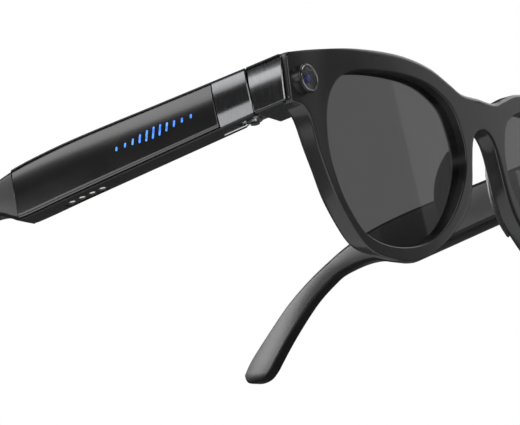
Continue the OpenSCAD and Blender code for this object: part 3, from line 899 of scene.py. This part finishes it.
def build_camera():
    centre = camera_centre()
    forward = (0, 1, 0)
    barrel = lathe("camera_tube", [(2.6, 4.8), (2.6, 0.9), (2.95, 0.55), (3.0, 0.1), (3.1, 0.0),
                                   (3.2, 0.0), (3.32, 0.08), (3.38, 0.2), (3.38, 0.5), (3.3, 0.62),
                                   (3.24, 0.9), (3.22, 1.3), (3.26, 1.8), (3.36, 2.3), (3.5, 2.7),
                                   (3.5, 3.2), (3.3, 3.3), (3.3, 5.0), (2.6, 5.0)], centre, forward)
    finish_piece(barrel, "front", "camera_black", barrel_black, "camera_barrel")
    ring = lathe("camera_bezel", [(1.08, 0.85), (1.08, 0.5), (1.3, 0.38), (2.4, 0.34),
                                  (2.66, 0.2), (2.72, 0.02), (2.8, -0.1), (2.93, -0.14),
                                  (3.02, -0.1), (3.05, 0.0), (3.03, 0.3), (2.9, 0.85)],
                 centre, forward)
    finish_piece(ring, "front", "camera_ring_grey", ring_glass, "camera_ring")
    line = lathe("camera_bezel_line", [(2.86, 0.0), (2.88, -0.15), (2.94, -0.2), (3.0, -0.19),
                                       (3.07, -0.1), (3.08, 0.05), (3.0, 0.1)], centre, forward)
    finish_piece(line, "front", "camera_ring_grey", ring_metal)
    window = lathe("camera_cover_glass", [(0.0, -0.1), (1.0, -0.08), (1.9, -0.02), (2.5, 0.08),
                                          (2.62, 0.18), (2.5, 0.3), (1.2, 0.3), (1.1, 0.02),
                                          (0.0, -0.02)],
                   centre, forward)
    finish_piece(window, "front", "camera_glass", window_glass, "camera_window")
    # The optics dome's bright blue base colour is partly the coating's tint and partly a painted
    # glint.
    dome = [(0.98 * math.sin(math.radians(a)), 0.42 - 0.4 * math.cos(math.radians(a)))
            for a in range(0, 91, 9)]
    stack = lathe("camera_optics", dome + [(1.05, 1.2), (1.6, 1.3), (1.8, 1.8),
                                           (2.3, 2.2), (2.3, 5.3), (0.0, 5.3)], centre, forward)
    finish_piece(stack, "front", "camera_coated_glass", coated_lens_painted_glint, "camera_lens_stack")


CONTACTS, CONTACT_U, CONTACT_FIRST, CONTACT_PITCH = 4, 4, 46.9, 3.1
CONTACT_SET = 0.12
UNDERSIDE_FALL, UNDERSIDE_RUN = 2, 54


def build_contacts():
    """Round pins that stand square to the sloping underside."""
    pins = []
    slope = math.atan(UNDERSIDE_FALL / UNDERSIDE_RUN)
    down = (TEMPLE.to_3x3() @ Matrix.Rotation(-slope, 3, "X") @ Vector((0, 0, 1))).normalized()
    for k in range(CONTACTS):
        along = CONTACT_FIRST + CONTACT_PITCH * k
        foot = Matrix.Rotation(-slope, 3, "X") @ Vector((CONTACT_U, along, CONTACT_SET))
        profile = [(0.0, -0.12), (0.45, -0.1), (0.8, 0.0), (0.98, 0.15), (1.0, 0.3), (1.0, 1.7),
                   (0.0, 1.7)]
        pins.append(lathe(f"pin_{k}", profile, temple_point(*foot), down, 32))
    obj = join("contact_pins", pins)
    finish_piece(obj, "right_temple", "contact_metal", contact_metal, "charging_contacts")


PAD_TOP, PAD_TALL, PAD_ROWS = 6.5, 19.5, 16
PAD_ROOT, PAD_ROOT_RUN, PAD_INSET = 7.1, 6.2, 1.0
PAD_REACH, PAD_SPREAD = 3.6, 3.4
PAD_SUNK, PAD_RAISED = 0.8, 0.4


def build_nose_pads():
    """Curved pads that grow out of the rim beside the nose."""
    for side in SIDES:
        rows = []
        for k in range(PAD_ROWS + 1):
            t = k / PAD_ROWS
            z = PAD_TOP - PAD_TALL * t
            root_x = PAD_ROOT + PAD_ROOT_RUN * t ** 1.6
            swell = math.sin(math.pi * min(max(t, 0.03), 0.97)) ** 0.5
            reach = PAD_REACH * swell
            spread = PAD_SPREAD * swell
            half = 0.25 + 1.05 * swell
            row = []
            loop = [(-half, 0.0), (-half * 0.9, 0.35), (-half * 0.75, 0.7), (-half * 0.35, 0.95),
                    (0, 1.0), (half * 0.35, 0.95), (half * 0.75, 0.7), (half * 0.9, 0.35),
                    (half, 0.0), (half * 0.5, -0.1), (-half * 0.5, -0.1)]
            for across, out in loop:
                x = root_x + PAD_INSET + across + spread * max(out, 0) ** 1.5
                row.append(front_point(x, z, RIM_DEPTH - PAD_SUNK + reach * out + PAD_RAISED))
            rows.append(row)
        pad = loft(f"nose_pad_skin_{side}", rows, side, smooth_angle=60)
        sub = pad.modifiers.new("round", "SUBSURF")
        sub.levels = sub.render_levels = 1
        finish_piece(pad, "front", "pad_black", pad_black, f"nose_pad_{side}")


# CAD pieces that keep their shape: a fine bevel and their own material.

KEPT = {
    "camera_sensor_board": board_green, "recording_light_window": guide_clear,
    "recording_light_board": board_green, "front_flex": copper_flex,
    "front_hinge_leaf_right": hinge_steel, "front_hinge_leaf_left": hinge_steel,
    "front_leaf_screws": screw_steel, "hinge_screw_right": screw_steel,
    "hinge_screw_left": screw_steel, "tip_core_right": core_steel, "tip_core_left": core_steel,
    "temple_hinge_leaf_right": hinge_steel, "temple_hinge_leaf_left": hinge_steel,
    "temple_leaf_screws_right": screw_steel, "temple_leaf_screws_left": screw_steel,
    "battery_right": battery_foil, "battery_left": battery_foil, "main_board": board_green,
    "left_board": board_green, "speaker_right": speaker_black, "speaker_left": speaker_black,
    "microphone_right": can_metal, "microphone_left": can_metal, "touch_sensor": copper_flex,
    "light_board": board_green, "contact_carrier": carrier_black,
    "capture_button": control_black, "button_switch": can_metal,
    "power_slider": control_black, "slider_switch": can_metal,
}


def dress_kept():
    for name, material in KEPT.items():
        obj = frame["nodes"][name]
        obj.data.materials.clear()
        obj.data.materials.append(material)
        bevel = obj.modifiers.new("edge", "BEVEL")
        bevel.width = 0.00012
        bevel.segments = 2
        bevel.limit_method = "ANGLE"
        bevel.angle_limit = math.radians(40)
        bevel.harden_normals = False
        for poly in obj.data.polygons:
            poly.use_smooth = True
        obj.data.set_sharp_from_angle(angle=math.radians(35))


# The stage: camera, floor and lights.

# The camera as fitted to the photograph: its axes, and its place in millimetres from the fit's
# origin, which is on the lens line and VIEW_ORIGIN_AHEAD in front of the foremost point.
VIEW_BACK = Vector((-0.7898, -0.57266, -0.21972))
VIEW_RIGHT = Vector((0.60288, -0.79073, -0.1062))
VIEW_PLACE = Vector((-434.2, -242.16, -114.37))
VIEW_ORIGIN_AHEAD = 1.97
FOCAL_LENGTH, SENSOR_WIDTH = 142.6, 36


def build_camera_view():
    """The photograph's camera: in front of, beside and below the wearer's right side."""
    back = VIEW_BACK.normalized()
    right = VIEW_RIGHT.normalized()
    up = back.cross(right)
    origin = Vector((0, FRONT_Y - VIEW_ORIGIN_AHEAD, LENS_Z))
    place = (VIEW_PLACE + origin) * MM
    data = bpy.data.cameras.new("camera")
    data.lens = FOCAL_LENGTH
    data.sensor_width = SENSOR_WIDTH
    data.clip_start = 0.01
    camera = bpy.data.objects.new("camera", data)
    turn = Matrix((right, up, back)).transposed().to_4x4()
    camera.matrix_world = Matrix.Translation(place) @ turn
    bpy.context.scene.collection.objects.link(camera)
    bpy.context.scene.camera = camera


AIM = Vector((-0.05, -0.03, 0.035))


def softbox(name, direction, distance, width, height, radiance, turn=0):
    """A soft light seen from the glasses in a direction, as wide and high as given in metres,
    turned in its own plane by some degrees."""
    data = bpy.data.lights.new(name, "AREA")
    data.shape = "RECTANGLE"
    data.size, data.size_y = width, height
    data.energy = radiance * math.pi * width * height
    light = bpy.data.objects.new(name, data)
    light.location = AIM + Vector(direction).normalized() * distance
    facing = (AIM - light.location).to_track_quat("-Z", "Y")
    light.rotation_euler = (facing @ Matrix.Rotation(math.radians(turn), 3, "Z")
                            .to_quaternion()).to_euler()
    light.visible_camera = False
    bpy.context.scene.collection.objects.link(light)


FLOOR_Z, FLOOR_HALF = -0.1, 4.0


def build_floor():
    """A pale floor below the glasses, low enough to leave them in view of a camera that looks
    up at them, as in the photograph."""
    corners = ((-1, -1), (1, -1), (1, 1), (-1, 1))
    floor = mesh_object("floor", [(x * FLOOR_HALF, y * FLOOR_HALF, FLOOR_Z)
                                  for x, y in corners], [(0, 1, 2, 3)])
    floor.visible_glossy = False
    material, tree, shader = new_material("floor_pale")
    cloud = noise(tree, (1, 1, 1), 3, 2)
    tree.links.new(tint(tree, cloud, (0.8, 0.8, 0.8), (0.83, 0.83, 0.83)),
                   shader.inputs["Base Color"])
    shader.inputs["Roughness"].default_value = 0.7
    floor.data.materials.append(material)


def build_world():
    """Dim light from all round, with a white background behind the glasses."""
    world = bpy.data.worlds.new("studio")
    world.use_nodes = True
    tree = world.node_tree
    background = tree.nodes["Background"]
    background.inputs["Color"].default_value = (0.05, 0.05, 0.051, 1)
    background.inputs["Strength"].default_value = 1.0
    white = tree.nodes.new("ShaderNodeBackground")
    white.inputs["Color"].default_value = (1, 1, 1, 1)
    path = tree.nodes.new("ShaderNodeLightPath")
    mix = tree.nodes.new("ShaderNodeMixShader")
    tree.links.new(path.outputs["Is Camera Ray"], mix.inputs["Fac"])
    tree.links.new(background.outputs["Background"], mix.inputs[1])
    tree.links.new(white.outputs["Background"], mix.inputs[2])
    tree.links.new(mix.outputs["Shader"], tree.nodes["World Output"].inputs["Surface"])
    bpy.context.scene.world = world


def build_lights():
    softbox("side_high", (-0.82, 0.54, 0.52), 0.7, 0.9, 0.15, 3.8)
    softbox("side_low", (-0.84, 0.53, 0.03), 0.36, 0.3, 0.075, 2.8)
    softbox("tip_side", (-0.214, 0.56, 0.17), 0.63, 0.2, 0.2, 8.0)
    softbox("near_view", (-0.5, -0.8, 0.05), 0.8, 0.5, 0.7, 1.5)
    softbox("spark", (-0.55, -0.8, 0.3), 0.8, 0.06, 0.12, 8.0)
    softbox("under", (-0.3, -0.25, -0.9), 0.11, 0.25, 0.25, 0.8)
    softbox("front_panel", (0.89, -0.46, 0.25), 1.0, 0.5, 0.9, 0.42, 20)
    softbox("front_fill", (0.6, -0.8, 0.25), 1.0, 0.6, 0.6, 0.09)
    softbox("far_low", (0.79, 0.573, -0.1), 0.5, 0.4, 0.1, 0.12)
    softbox("far_high", (0.79, -0.1, 0.58), 1.0, 0.9, 0.4, 1.6)
    softbox("overhead", (0.0, 0.1, 1.0), 1.0, 0.8, 0.8, 2.0)
    softbox("behind", (0.3, 1.0, 0.35), 1.1, 0.9, 0.5, 2.0)


build_front()
build_lenses()
for temple_side in SIDES:
    build_cover(temple_side)
    build_housing(temple_side)
    build_trims(temple_side)
    build_tip(temple_side)
build_light_bars()
build_camera()
build_contacts()
build_nose_pads()
build_leaf_strips()
dress_kept()
build_floor()
build_world()
build_lights()
build_camera_view()

bpy.context.scene.view_settings.view_transform = "Standard"
